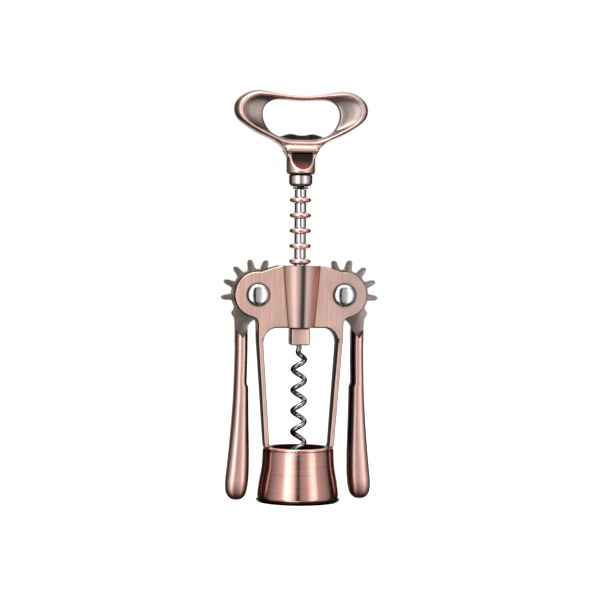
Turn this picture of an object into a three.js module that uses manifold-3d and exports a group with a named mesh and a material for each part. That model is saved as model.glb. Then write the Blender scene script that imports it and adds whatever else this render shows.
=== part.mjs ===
// Lever (wing) corkscrew with a cap-lifter handle.
// Millimetres, +Z up. The origin is the centre of the bell's bottom rim, +X is the right lever's
// side and -Y is the front, where the rivet heads are. The levers hang down and the rack is up.
import * as THREE from 'three';
import { mergeVertices } from 'three/addons/utils/BufferGeometryUtils.js';
import Module from 'manifold-3d';

const wasm = await Module();
wasm.setup();

// Clearances
const fitGap = 0.3; // between pieces that touch or turn on each other
const cutMargin = 1; // how far a cutting shape runs past the face it cuts

// Bell
const bellHeight = 24;
const bellRimRadius = 15.95;
const bellFootRadius = 18.7;
// Bell's outside above the foot bead, as [radius, height]
const bellFlare = [[18.3, 3], [18, 5.5], [17.5, 9], [16.9, 12.2], [16.35, 15.5], [16.05, 19]];
const bellEdge = 0.4; // chamfer at the rim and the foot
const corkHoleRadius = 11.6;
const neckMouthRadius = 15.3; // room for the bottle's lip
const neckSeatRadius = 13.6;
const neckSeatHeight = 15;
const neckSeatCone = 3; // height of the cone from the seat up to the cork hole

// Frame
const frameTop = 104.4;
const frameDepth = 10;
const windowTop = 76.9;
const windowCornerRadius = 6.2;
const bossTopRadius = 9.5;
const bossBottomRadius = 7.6;
const bossBoreRadius = 5.05;
const pivotX = 19.3;
const pivotZ = 91.5;
const lobeRadius = 10.3;
const edgeBevel = 0.5;
const legDepth = 7;
const legThickness = 2.2;
const legBevel = 0.7;
const legBow = 0.15; // how far the middle of the leg lies inside the straight line
const legTop = 70.2;
const legTopX = 17.8; // middle of the leg at its top
const legFootX = 14.6; // middle of the leg at the bell

// Rack and gears
const ringCount = 9;
const ringPitch = 6.76;
const firstRingZ = 133.3;
const ringRadius = 4.8;
const ringThickness = 2.5;
const sleeveRadius = 2.6;
const sleeveTop = 138;
const sleeveBottom = 77.9;
const gearTeeth = 13; // in a full turn
const gearTipRadius = 15.7;
const gearRootRadius = 11.2;
const gearPlateThickness = 4;
const pitchRadius = ringPitch * gearTeeth / (2 * Math.PI);

// Pivots
const rivetShankRadius = 2.4;
const rivetHeadRadius = 4.8;
const rivetHeadHeight = 1.9;
const rivetHeadEdge = 0.3; // straight rim below the dome
const rivetShankReach = 0.6; // how far the shank runs past the face into the cap

// Lever arms
const armDepth = 10;
const armBevel = 1.6;
const armTop = 77;
const armNotchBottom = 71.2;
const armTip = 0.9;
const slotClearance = 0.4; // round the gear's tips in the yoke

// Turning assembly
const spindleRadius = 1.55;
const spindleHeadRadius = 2.4;
const spindleTop = 151;
const washerThickness = 0.7;
const washerRadius = 3.4;
const collarBottom = 139.25;
const collarTop = 144.3;
const collarRadius = 5.25;
const collarFootRadius = 3.7;
const neckRadius = 6.4;
const neckBottom = 144.6;
const handleDepth = 10;
const handleBevel = 1.05;
const lipThickness = 3;
const handlePinZ = 148.6;
const handlePinRadius = 0.8;
const blockWidth = 8.4;
const blockBottom = 69.3;
const blockTop = 76.7;
const blockChamfer = 0.7; // upright edges
const blockBevel = 0.5; // top and bottom edges
const wormHeadRadius = 2;
const wormHeadTop = 72.6;
const wormPinZ = 71;
const wormPinRadius = 0.6;
const wormWireRadius = 1.2;
const wormRadius = 2.6; // of the wire's centre line
const wormPitch = 9.2;
const wormTop = 66.5;
const wormEnd = 20.5;
const wormTipLength = 3.6;

// Turns a closed three.js geometry into a solid: equal vertices are welded, triangles that
// collapse at a pole are dropped, and the faces are turned outwards.
function solid(geometry) {
  const bare = geometry.clone();
  bare.deleteAttribute('normal');
  bare.deleteAttribute('uv');
  const welded = mergeVertices(bare, 1e-4);
  const position = welded.attributes.position;
  const corners = [];
  let sixVolumes = 0;
  const [a, b, c] = [new THREE.Vector3(), new THREE.Vector3(), new THREE.Vector3()];
  for (let i = 0; i < welded.index.count; i += 3) {
    const triangle = [0, 1, 2].map((k) => welded.index.getX(i + k));
    if (new Set(triangle).size < 3) continue;
    corners.push(triangle);
    a.fromBufferAttribute(position, triangle[0]);
    b.fromBufferAttribute(position, triangle[1]);
    c.fromBufferAttribute(position, triangle[2]);
    sixVolumes += a.dot(b.cross(c));
  }
  if (sixVolumes < 0) corners.forEach((triangle) => triangle.reverse());
  return new wasm.Manifold(new wasm.Mesh({
    numProp: 3,
    vertProperties: new Float32Array(position.array),
    triVerts: new Uint32Array(corners.flat()),
  }));
}

function geometryOf(manifold) {
  const mesh = manifold.getMesh();
  const geometry = new THREE.BufferGeometry();
  const positions = new THREE.BufferAttribute(new Float32Array(mesh.vertProperties), 3);
  geometry.setAttribute('position', positions);
  geometry.setIndex(new THREE.BufferAttribute(new Uint32Array(mesh.triVerts), 1));
  geometry.computeVertexNormals();
  return geometry;
}

// A closed profile of [radius, height] points turned about three.js's Y axis.
function lathed(profile, segments) {
  const points = [...profile, profile[0]].map(([radius, height]) => new THREE.Vector2(radius, height));
  return new THREE.LatheGeometry(points, segments);
}

// A solid of revolution about the Z axis.
function turned(profile, segments) {
  return solid(lathed(profile, segments).rotateX(Math.PI / 2));
}

// A front-view shape (x, z) given thickness along Y about y = 0. A bevel rounds its edges inwards.
function plate(shape, thickness, bevel = 0, bevelSteps = 1, curveSegments = 12) {
  const geometry = new THREE.ExtrudeGeometry(shape, {
    depth: thickness - 2 * bevel,
    bevelEnabled: bevel > 0,
    bevelThickness: bevel,
    bevelSize: bevel,
    bevelOffset: -bevel,
    bevelSegments: bevelSteps,
    curveSegments,
  });
  geometry.translate(0, 0, bevel - thickness / 2);
  return solid(geometry.rotateX(Math.PI / 2));
}

function cylinderZ(radius, bottom, top, segments = 24) {
  const geometry = new THREE.CylinderGeometry(radius, radius, top - bottom, segments);
  return solid(geometry.rotateX(Math.PI / 2).translate(0, 0, (top + bottom) / 2));
}

function cylinderY(radius, front, back, x, z, segments = 24) {
  const geometry = new THREE.CylinderGeometry(radius, radius, back - front, segments);
  return solid(geometry.translate(x, (front + back) / 2, z));
}

function cylinderX(radius, length, z, segments = 16) {
  const geometry = new THREE.CylinderGeometry(radius, radius, length, segments);
  return solid(geometry.rotateZ(Math.PI / 2).translate(0, 0, z));
}

function ellipsoid(radii, centre) {
  const geometry = new THREE.SphereGeometry(1, 16, 10).scale(...radii).translate(...centre);
  return solid(geometry);
}

const shapeOf = (points) => new THREE.Shape(points.map(([x, z]) => new THREE.Vector2(x, z)));

// An arc as points, its angles in degrees, leaving out neither end.
function arc(x, z, radius, fromDegrees, toDegrees, steps) {
  const points = [];
  for (let i = 0; i <= steps; i += 1) {
    const angle = THREE.MathUtils.degToRad(fromDegrees + (toDegrees - fromDegrees) * i / steps);
    points.push([x + radius * Math.cos(angle), z + radius * Math.sin(angle)]);
  }
  return points;
}

const mirrored = (points) => points.map(([x, z]) => [-x, z]).reverse();

const group = new THREE.Group();
const copper = { color: 0xb9705c, roughness: 0.32, metalness: 1 };
const steel = { color: 0xc9c9c7, roughness: 0.16, metalness: 1 };

function addPiece(name, manifold, finish) {
  const mesh = new THREE.Mesh(geometryOf(manifold), new THREE.MeshStandardMaterial(finish));
  mesh.name = name;
  group.add(mesh);
}

// Bell: flared outside with a bead at its foot, a tapered seat for the bottle's lip inside,
// and the cork hole above it.
function makeBell() {
  const profile = [
    [neckMouthRadius, 0],
    [bellFootRadius - bellEdge, 0],
    [bellFootRadius, 0.5],
    [bellFootRadius, 1.3],
    [bellFootRadius - bellEdge, 1.8],
    ...bellFlare,
    [bellRimRadius, bellHeight - bellEdge],
    [bellRimRadius - bellEdge, bellHeight],
    [corkHoleRadius + bellEdge, bellHeight],
    [corkHoleRadius, bellHeight - bellEdge],
    [corkHoleRadius, neckSeatHeight + neckSeatCone],
    [neckSeatRadius, neckSeatHeight],
  ];
  return turned(profile, 56);
}

// Leg: a strap between the yoke and the bell's rim, bevelled all round.
function makeLeg(side) {
  const foot = bellHeight + fitGap;
  const half = legThickness / 2;
  const middleX = (legFootX + legTopX) / 2 - legBow;
  const middle = (foot + legTop) / 2;
  const outline = [
    [side * (legFootX - half), foot],
    [side * (legFootX + half), foot],
    [side * (middleX + half), middle],
    [side * (legTopX + half), legTop],
    [side * (legTopX - half), legTop],
    [side * (middleX - half), middle],
  ];
  return plate(shapeOf(outline), legDepth, legBevel);
}

// Yoke: two pivot lobes and the tops of the legs in one slab, a conical boss through its middle
// for the rack, and a slot on each side that the gear ends of the levers turn in.
function makeYoke() {
  const stubBottom = legTop + fitGap;
  const legInner = legTopX - legThickness / 2;
  const legOuter = legTopX + legThickness / 2;
  const cornerX = legInner - windowCornerRadius;
  const cornerZ = windowTop - windowCornerRadius;
  const rightSide = [
    [bossTopRadius, frameTop],
    [13.4, 103.3],
    ...arc(pivotX, pivotZ, lobeRadius, 98, -84, 20),
    [legOuter + 0.2, 79.6],
    [legOuter, stubBottom],
    [legInner, stubBottom],
    ...arc(cornerX, cornerZ, windowCornerRadius, 5, 90, 6),
  ];
  const slab = plate(shapeOf([...rightSide, ...mirrored(rightSide)]), frameDepth, edgeBevel);
  const boss = turned([
    [0, windowTop],
    [bossBottomRadius - 0.4, windowTop],
    [bossBottomRadius, windowTop + 0.4],
    [bossTopRadius, frameTop - 0.6],
    [bossTopRadius - 0.6, frameTop],
    [0, frameTop],
  ], 48);
  const bore = cylinderZ(bossBoreRadius, windowTop - cutMargin, frameTop + cutMargin, 40);
  const slotHalf = gearPlateThickness / 2 + fitGap;
  let yoke = slab.add(boss).subtract(bore);
  for (const side of [-1, 1]) {
    const x = side * pivotX;
    const slot = cylinderY(gearTipRadius + slotClearance, -slotHalf, slotHalf, x, pivotZ, 56);
    const eye = cylinderY(rivetShankRadius + fitGap, -frameDepth, frameDepth, x, pivotZ);
    yoke = yoke.subtract(slot).subtract(eye);
  }
  return yoke;
}

// The domed side of a rivet's head or of a cap, as [radius, height] points out from the middle plane.
function dome() {
  const edge = frameDepth / 2 + fitGap + rivetHeadEdge;
  const rise = rivetHeadHeight - rivetHeadEdge;
  const rim = arc(0, 0, 1, 0, 72, 4).map(([c, s]) => [rivetHeadRadius * c, edge + rise * s]);
  return [...rim, [0, edge + rise]];
}

// Rivet: its shank runs back through the lever into the cap, its head is a low dome in front.
function makeRivet(side) {
  const face = frameDepth / 2 + fitGap;
  const profile = [
    [0, -face - rivetShankReach],
    [rivetShankRadius, -face - rivetShankReach],
    [rivetShankRadius, face],
    [rivetHeadRadius, face],
    ...dome(),
  ];
  return solid(lathed(profile, 32).rotateX(Math.PI).translate(side * pivotX, 0, pivotZ));
}

// Cap: a domed disc at the back with a blind socket over the end of the rivet's shank.
function makeCap(side) {
  const face = frameDepth / 2 + fitGap;
  const socketTop = face + rivetShankReach + fitGap;
  const socketRadius = rivetShankRadius + fitGap;
  const profile = [
    [socketRadius, face],
    [rivetHeadRadius, face],
    ...dome(),
    [0, socketTop],
    [socketRadius, socketTop],
  ];
  return solid(lathed(profile, 32).translate(side * pivotX, 0, pivotZ));
}

// One gear tooth as [radius, sideways offset] points from its first flank to its last.
const toothFlank = [[gearRootRadius, 1.5], [14.5, 1.15], [15.35, 0.7], [gearTipRadius, 0.25]];
const toothOutline = [...toothFlank.map(([r, w]) => [r, -w]), ...[...toothFlank].reverse()];

// Lever: a plate with gear teeth that turns in the yoke's slot, and a thicker bevelled arm whose
// top is notched to a V where it meets the plate. Angles are for the right lever, from +X to +Z.
function makeLever(side) {
  const gapMiddle = firstRingZ - 6.5 * ringPitch;
  const meshAngle = 180 - THREE.MathUtils.radToDeg((gapMiddle - pivotZ) / pitchRadius);
  const toothStep = 360 / gearTeeth;
  const gear = [];
  for (let tooth = -1; tooth <= 7; tooth += 1) {
    const angle = THREE.MathUtils.degToRad(meshAngle - tooth * toothStep);
    for (const [radius, offset] of toothOutline) {
      gear.push([
        pivotX + radius * Math.cos(angle) + offset * Math.sin(angle),
        pivotZ + radius * Math.sin(angle) - offset * Math.cos(angle),
      ]);
    }
  }
  const plateOutline = [
    ...gear,
    ...arc(pivotX, pivotZ, gearRootRadius, -20, -28, 1),
    [29.2, 84.9],
    [30.3, 83.6],
    [30.1, 82.6],
    [28.9, 80.9],
    [28.7, 74],
    [26.2, 69],
    [23.6, 74],
    [23.4, 77.5],
    [20.6, 80.4],
    ...arc(pivotX, pivotZ, gearRootRadius, 262, 232, 4),
  ];
  const armOutline = [
    [23.3, armTop],
    [28.8, armTop],
    [28.8, 66],
    [29.1, 52],
    [29.8, 39.6],
    [31.2, 21.8],
    [32.3, 11.5],
    ...arc(27.75, 6.1, 5.1, 10, -60, 5),
    [28.6, armTip],
    [27.2, armTip + 0.1],
    ...arc(27.75, 6.5, 5.1, 235, 172, 4),
    [22.1, 15],
    [22.1, 22],
    [22.5, 36],
    [22.75, 50.6],
    [23.5, 52.2],
    [23.25, 66],
  ];
  const facing = (points) => shapeOf(points.map(([x, z]) => [side * x, z]));
  const eye = cylinderY(rivetShankRadius + fitGap, -frameDepth, frameDepth, side * pivotX, pivotZ);
  const gearPlate = plate(facing(plateOutline), gearPlateThickness);
  const notch = facing([[21, armTop + cutMargin], [31, armTop + cutMargin], [26.1, armNotchBottom]]);
  const arm = plate(facing(armOutline), armDepth, armBevel, 2).subtract(plate(notch, 2 * armDepth));
  return gearPlate.add(arm).subtract(eye);
}

// Rack: a sleeve with lens-shaped ring teeth, bored for the spindle.
function makeSleeve() {
  const bore = spindleRadius + fitGap;
  const half = ringThickness / 2;
  const profile = [[bore, sleeveBottom], [sleeveRadius, sleeveBottom]];
  for (let ring = ringCount - 1; ring >= 0; ring -= 1) {
    const z = firstRingZ - ring * ringPitch;
    profile.push([sleeveRadius, z - half]);
    profile.push([ringRadius, z - half * 0.3]);
    profile.push([ringRadius, z + half * 0.3]);
    profile.push([sleeveRadius, z + half]);
  }
  profile.push([sleeveRadius, sleeveTop], [bore, sleeveTop]);
  return turned(profile, 24);
}

// Spindle: a steel rod with a thicker cross-drilled head that the handle's neck holds.
function makeSpindle() {
  const headBottom = collarTop + fitGap;
  const rod = turned([
    [0, wormHeadTop + fitGap],
    [spindleRadius, wormHeadTop + fitGap],
    [spindleRadius, headBottom],
    [spindleHeadRadius, headBottom],
    [spindleHeadRadius, spindleTop],
    [0, spindleTop],
  ], 24);
  return rod.subtract(cylinderX(handlePinRadius + fitGap, 4 * spindleHeadRadius, handlePinZ));
}

function makeWasher(bottom) {
  const bore = spindleRadius + fitGap;
  const top = bottom + washerThickness;
  return turned([[bore, bottom], [washerRadius, bottom], [washerRadius, top], [bore, top]], 28);
}

// Collar: a round-bottomed ring under the handle's neck.
function makeCollar() {
  const bore = spindleRadius + fitGap;
  return turned([
    [bore, collarBottom],
    [collarFootRadius, collarBottom],
    [4.9, collarBottom + 0.7],
    [collarRadius, collarBottom + 1.7],
    [collarRadius, collarTop - 0.4],
    [collarRadius - 0.4, collarTop],
    [bore, collarTop],
  ], 36);
}

// Handle: a two-lobed grip around the bottle-cap opening, a lip with two low crests at the foot of
// the opening, hollowed lobes on both faces, and a round neck that takes the spindle's head.
function makeHandle() {
  const halfOutline = [
    [0, 179.3],
    [8, 179.8],
    [14, 180.9],
    [19.5, 181.6],
    [24.3, 180.5],
    [28.3, 177.6],
    [30, 173.9],
    [29.2, 169.9],
    [26.1, 166.6],
    [19.8, 162.6],
    [12, 159],
    [8, 156.4],
    [6.4, 153.6],
  ];
  const halfOpening = [
    [0, 177],
    [8, 177.3],
    [12.4, 177.1],
    [16.2, 174.6],
    [17.3, 171],
    [16.4, 166.9],
    [14, 163.5],
    [11, 161.6],
    [8, 160.7],
    [4, 160.1],
  ];
  const outline = shapeOf([...halfOutline.slice(1), ...mirrored(halfOutline)]);
  outline.holes.push(shapeOf([...halfOpening.slice(1), ...mirrored(halfOpening)].reverse()));
  const grip = plate(outline, handleDepth, handleBevel, 2);
  const neck = turned([
    [0, neckBottom],
    [neckRadius - 0.9, neckBottom],
    [neckRadius, neckBottom + 0.9],
    [neckRadius, 152.6],
    [neckRadius - 0.7, 155.4],
    [3.4, 157.6],
    [0, 158.2],
  ], 36);
  const lipFoot = [[-8.6, 158.9], [8.6, 158.9]];
  const crest = [[10.6, 161.2], [6.9, 162.1], [5.2, 162.5], [2.6, 162.1]];
  const lip = plate(shapeOf([...lipFoot, ...crest, [0, 161.7], ...mirrored(crest)]), lipThickness);
  let handle = grip.add(neck).add(lip);
  for (const face of [-1, 1]) {
    for (const side of [-1, 1]) {
      handle = handle.subtract(ellipsoid([5.2, 3.4, 7.6], [side * 22.4, face * 6.6, 171.6]));
    }
  }
  handle = handle.subtract(ellipsoid([4.2, 3, 8.4], [0, -8, 154.4]));
  const socket = cylinderZ(spindleHeadRadius + fitGap, neckBottom - cutMargin, spindleTop + fitGap);
  const pinHole = cylinderX(handlePinRadius + fitGap, 4 * neckRadius, handlePinZ);
  return handle.subtract(socket).subtract(pinHole);
}

// Worm block: a square socket with bevelled edges, bored for the spindle above and the worm below.
function makeBlock() {
  const half = blockWidth / 2;
  const flat = half - blockChamfer;
  const outline = shapeOf([
    [-flat, -half],
    [flat, -half],
    [half, -flat],
    [half, flat],
    [flat, half],
    [-flat, half],
    [-half, flat],
    [-half, -flat],
  ]);
  const block = solid(new THREE.ExtrudeGeometry(outline, {
    depth: blockTop - blockBottom - 2 * blockBevel,
    bevelThickness: blockBevel,
    bevelSize: blockBevel,
    bevelOffset: -blockBevel,
    bevelSegments: 1,
  }).translate(0, 0, blockBottom + blockBevel));
  const wormBore = cylinderZ(wormHeadRadius + fitGap, blockBottom - cutMargin, wormHeadTop + fitGap / 2);
  const spindleBore = cylinderZ(spindleRadius + fitGap, wormHeadTop, blockTop + cutMargin);
  const pinHole = cylinderX(wormPinRadius + fitGap, 2 * blockWidth, wormPinZ);
  return block.subtract(wormBore).subtract(spindleBore).subtract(pinHole);
}

// Worm: round wire wound right-handed round an empty core, eased in to a straight shank at the top
// and ground to a point at the end. Its head sits in the block and is cross-drilled for the pin.
class WormCurve extends THREE.Curve {
  getPoint(t, target = new THREE.Vector3()) {
    const z = THREE.MathUtils.lerp(blockBottom + 0.5, wormEnd, t);
    const ease = THREE.MathUtils.smoothstep(wormTop + 1.5 - z, 0, 5.5);
    const angle = Math.PI + (z - 58.6) / wormPitch * 2 * Math.PI;
    return target.set(wormRadius * ease * Math.cos(angle), wormRadius * ease * Math.sin(angle), z);
  }
}

function makeWorm() {
  const curve = new WormCurve();
  curve.arcLengthDivisions = 2000;
  const section = shapeOf(arc(0, 0, wormWireRadius, 0, 315, 7));
  const sweep = { steps: 110, extrudePath: curve, bevelEnabled: false };
  const wire = solid(new THREE.ExtrudeGeometry(section, sweep));
  const tip = new THREE.ConeGeometry(wormWireRadius * 0.98, wormTipLength + 1, 8);
  const tangent = curve.getTangent(1);
  tip.applyQuaternion(new THREE.Quaternion().setFromUnitVectors(new THREE.Vector3(0, 1, 0), tangent));
  const centre = curve.getPoint(1).addScaledVector(tangent, (wormTipLength - 1) / 2);
  tip.translate(centre.x, centre.y, centre.z);
  const head = cylinderZ(wormHeadRadius, blockBottom + 0.3, wormHeadTop);
  const worm = wire.add(solid(tip)).add(head);
  return worm.subtract(cylinderX(wormPinRadius + fitGap, 4 * wormHeadRadius, wormPinZ));
}

addPiece('frame_bell', makeBell(), copper);
addPiece('frame_yoke', makeYoke(), copper);
addPiece('rack_sleeve', makeSleeve(), copper);
addPiece('spindle', makeSpindle(), steel);
addPiece('thrust_washer_upper', makeWasher(sleeveTop + fitGap / 2 + 0.1), steel);
addPiece('thrust_washer_lower', makeWasher(blockTop + 0.25), steel);
addPiece('handle_collar', makeCollar(), copper);
addPiece('handle', makeHandle(), copper);
addPiece('handle_pin', cylinderX(handlePinRadius, 2 * neckRadius - 0.6, handlePinZ), steel);
addPiece('worm_block', makeBlock(), copper);
addPiece('worm_pin', cylinderX(wormPinRadius, blockWidth - 0.4, wormPinZ), steel);
addPiece('worm', makeWorm(), steel);
for (const [name, side] of [['left', -1], ['right', 1]]) {
  addPiece(`frame_leg_${name}`, makeLeg(side), copper);
  addPiece(`lever_${name}`, makeLever(side), copper);
  addPiece(`pivot_rivet_${name}`, makeRivet(side), steel);
  addPiece(`pivot_cap_${name}`, makeCap(side), steel);
}

export default group;
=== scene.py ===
import math
import bmesh
import bpy
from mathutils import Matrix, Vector


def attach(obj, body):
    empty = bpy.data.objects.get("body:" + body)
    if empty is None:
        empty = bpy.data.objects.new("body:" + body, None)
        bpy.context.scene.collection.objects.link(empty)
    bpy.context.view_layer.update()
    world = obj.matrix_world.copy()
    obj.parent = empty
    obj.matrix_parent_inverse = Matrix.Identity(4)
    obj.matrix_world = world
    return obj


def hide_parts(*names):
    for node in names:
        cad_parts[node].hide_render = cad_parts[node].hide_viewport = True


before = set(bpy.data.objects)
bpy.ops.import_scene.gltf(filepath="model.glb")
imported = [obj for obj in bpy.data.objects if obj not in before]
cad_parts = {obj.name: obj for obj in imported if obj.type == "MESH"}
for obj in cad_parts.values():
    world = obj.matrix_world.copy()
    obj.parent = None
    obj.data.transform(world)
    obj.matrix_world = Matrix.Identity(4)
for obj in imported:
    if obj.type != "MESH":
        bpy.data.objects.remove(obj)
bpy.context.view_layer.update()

# ---------------------------------------------------------------- camera, floor and studio light
# The corkscrew stands on a pale floor in a white studio. The camera is a little to its left and
# level with the foot of the handle. Tall strips of light stand left and right of the camera with
# dark gaps between them, so that polished and brushed metal shows upright streaks.
bpy.ops.object.select_all(action="DESELECT")
camera_side = math.radians(-10.5)
camera_distance = 0.88
camera_height = 0.1108
looking_down = math.radians(1.41)
camera_roll = math.radians(-0.56)
camera_x = math.sin(camera_side) * camera_distance
camera_y = -math.cos(camera_side) * camera_distance
bpy.ops.object.camera_add(
    location=(camera_x, camera_y, camera_height),
    rotation=(math.radians(90) - looking_down, camera_roll, camera_side),
)
camera = bpy.context.object
camera.data.sensor_width = 36
camera.data.angle = math.radians(17.16)
camera.data.clip_start = 0.01
bpy.context.scene.camera = camera
bpy.context.scene.view_settings.view_transform = "Standard"

bpy.ops.mesh.primitive_plane_add(size=3)
floor = bpy.context.object
floor.name = "studio_floor"
floor_paint = bpy.data.materials.new("studio_floor_paint")
floor_paint.use_nodes = True
tree = floor_paint.node_tree
tree.nodes.clear()
matt = tree.nodes.new("ShaderNodeBsdfDiffuse")
matt.inputs["Color"].default_value = (0.42, 0.42, 0.42, 1)
lift = tree.nodes.new("ShaderNodeEmission")
lift.inputs["Strength"].default_value = 0.82
lit = tree.nodes.new("ShaderNodeAddShader")
shade = tree.nodes.new("ShaderNodeBsdfTransparent")
ray = tree.nodes.new("ShaderNodeLightPath")
pick = tree.nodes.new("ShaderNodeMixShader")
output = tree.nodes.new("ShaderNodeOutputMaterial")
tree.links.new(matt.outputs[0], lit.inputs[0])
tree.links.new(lift.outputs[0], lit.inputs[1])
tree.links.new(ray.outputs["Is Camera Ray"], pick.inputs[0])
tree.links.new(shade.outputs[0], pick.inputs[1])
tree.links.new(lit.outputs[0], pick.inputs[2])
tree.links.new(pick.outputs[0], output.inputs[0])
floor.data.materials.append(floor_paint)

strip_brightness = 4.4
studio = bpy.data.worlds.new("studio")
bpy.context.scene.world = studio
studio.use_nodes = True
tree = studio.node_tree
tree.nodes.clear()
heading = tree.nodes.new("ShaderNodeTexCoord")
around = tree.nodes.new("ShaderNodeTexGradient")
around.gradient_type = "RADIAL"
strips = tree.nodes.new("ShaderNodeValToRGB")
strips.color_ramp.interpolation = "EASE"
# (degrees round from the front towards the right side, brightness from 0 to 1)
for degrees, level in [
    (-74, 0.15), (-63, 0.2), (-55, 0.26), (-48, 0.6), (-42, 0.9), (-34, 0.62), (-24, 0.34), (-16, 0.12),
    (-12, 0.0), (-6, 0.0), (-2, 0.11), (14, 0.15), (25, 0.3), (33, 0.58), (42, 0.5), (50, 0.16), (70, 0.12),
    (86, 0.08), (97, 0.004), (142, 0.004), (152, 0.4), (187, 0.4), (197, 0.004), (240, 0.004), (252, 0.02),
]:
    step = strips.color_ramp.elements.new((degrees + 90) / 360)
    step.color = (level, level, level, 1)
for seam in (strips.color_ramp.elements[0], strips.color_ramp.elements[-1]):
    seam.color = (0.09, 0.09, 0.09, 1)
height = tree.nodes.new("ShaderNodeSeparateXYZ")
tree.links.new(heading.outputs["Generated"], height.inputs["Vector"])


def by_height(start, end, low, high):
    """A brightness that goes from low to high between two heights of the light."""
    graded = tree.nodes.new("ShaderNodeMapRange")
    for socket, number in zip(("From Min", "From Max", "To Min", "To Max"), (start, end, low, high)):
        graded.inputs[socket].default_value = number
    tree.links.new(height.outputs["Z"], graded.inputs["Value"])
    return graded


horizon = by_height(-0.75, -0.45, 0.1, 1.0)
upright = by_height(0.35, 0.6, 1.0, 0.35)
overhead = by_height(0.5, 0.75, 0.0, 0.3)
lower = tree.nodes.new("ShaderNodeMath")
lower.operation = "MULTIPLY"
total = tree.nodes.new("ShaderNodeMath")
total.operation = "MULTIPLY_ADD"
reflected = tree.nodes.new("ShaderNodeBackground")
backdrop = tree.nodes.new("ShaderNodeBackground")
backdrop.inputs["Color"].default_value = (1, 1, 1, 1)
brightness = tree.nodes.new("ShaderNodeMath")
brightness.operation = "MULTIPLY"
brightness.inputs[1].default_value = strip_brightness
ray = tree.nodes.new("ShaderNodeLightPath")
pick = tree.nodes.new("ShaderNodeMixShader")
output = tree.nodes.new("ShaderNodeOutputWorld")
tree.links.new(heading.outputs["Generated"], around.inputs["Vector"])
tree.links.new(around.outputs["Fac"], strips.inputs["Fac"])
tree.links.new(horizon.outputs[0], lower.inputs[0])
tree.links.new(upright.outputs[0], lower.inputs[1])
tree.links.new(strips.outputs["Color"], total.inputs[0])
tree.links.new(lower.outputs[0], total.inputs[1])
tree.links.new(overhead.outputs[0], total.inputs[2])
tree.links.new(total.outputs[0], brightness.inputs[0])
tree.links.new(brightness.outputs[0], reflected.inputs["Strength"])
tree.links.new(ray.outputs["Is Camera Ray"], pick.inputs[0])
tree.links.new(reflected.outputs[0], pick.inputs[1])
tree.links.new(backdrop.outputs[0], pick.inputs[2])
tree.links.new(pick.outputs[0], output.inputs["Surface"])

bpy.ops.object.light_add(
    type="AREA", location=(-0.35, -0.55, 1.2), rotation=(math.radians(25), math.radians(-16), 0),
)
softbox = bpy.context.object
softbox.data.shape = "SQUARE"
softbox.data.size = 0.7
softbox.data.energy = 9

# ---------------------------------------------------------------- bell
# The open foot of the casting that stands over the bottle's neck: a ring wall flared to a beaded
# foot. Zinc, turned after casting, plated in antique copper and brushed round and round.
mm = 0.001


def drawn(name, points):
    """A new piece with one line of edges: a plane shrunk to a point, then drawn from point to point."""
    bpy.ops.object.select_all(action="DESELECT")
    bpy.ops.mesh.primitive_plane_add(size=mm)
    piece = bpy.context.object
    piece.name = name
    bpy.ops.object.mode_set(mode="EDIT")
    bpy.ops.mesh.select_mode(type="VERT")
    bpy.ops.mesh.merge(type="CENTER")
    bpy.ops.transform.translate(value=Vector(points[0]) * mm)
    for here, there in zip(points, points[1:]):
        stroke = (Vector(there) - Vector(here)) * mm
        bpy.ops.mesh.extrude_vertices_move(TRANSFORM_OT_translate={"value": stroke})
    bpy.ops.mesh.select_all(action="SELECT")
    return piece


def closed_up():
    """Merges doubles, turns the faces outwards and leaves edit mode."""
    bpy.ops.mesh.select_all(action="SELECT")
    bpy.ops.mesh.remove_doubles(threshold=0.004 * mm)
    bpy.ops.mesh.normals_make_consistent(inside=False)
    bpy.ops.object.mode_set(mode="OBJECT")


def turned(name, outline, steps=120):
    """A turned piece: its outline of (radius, height) points is spun round the upright axis."""
    piece = drawn(name, [(radius, 0, z) for radius, z in outline])
    bpy.ops.mesh.spin(steps=steps, angle=2 * math.pi, center=(0, 0, 0), axis=(0, 0, 1))
    closed_up()
    bpy.ops.object.shade_smooth_by_angle(angle=math.radians(32))
    return piece


def arc(x, z, radius, start, end, steps):
    """Points of an arc, its angles in degrees."""
    turn = [math.radians(start + (end - start) * i / steps) for i in range(steps + 1)]
    return [(x + radius * math.cos(a), z + radius * math.sin(a)) for a in turn]


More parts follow.
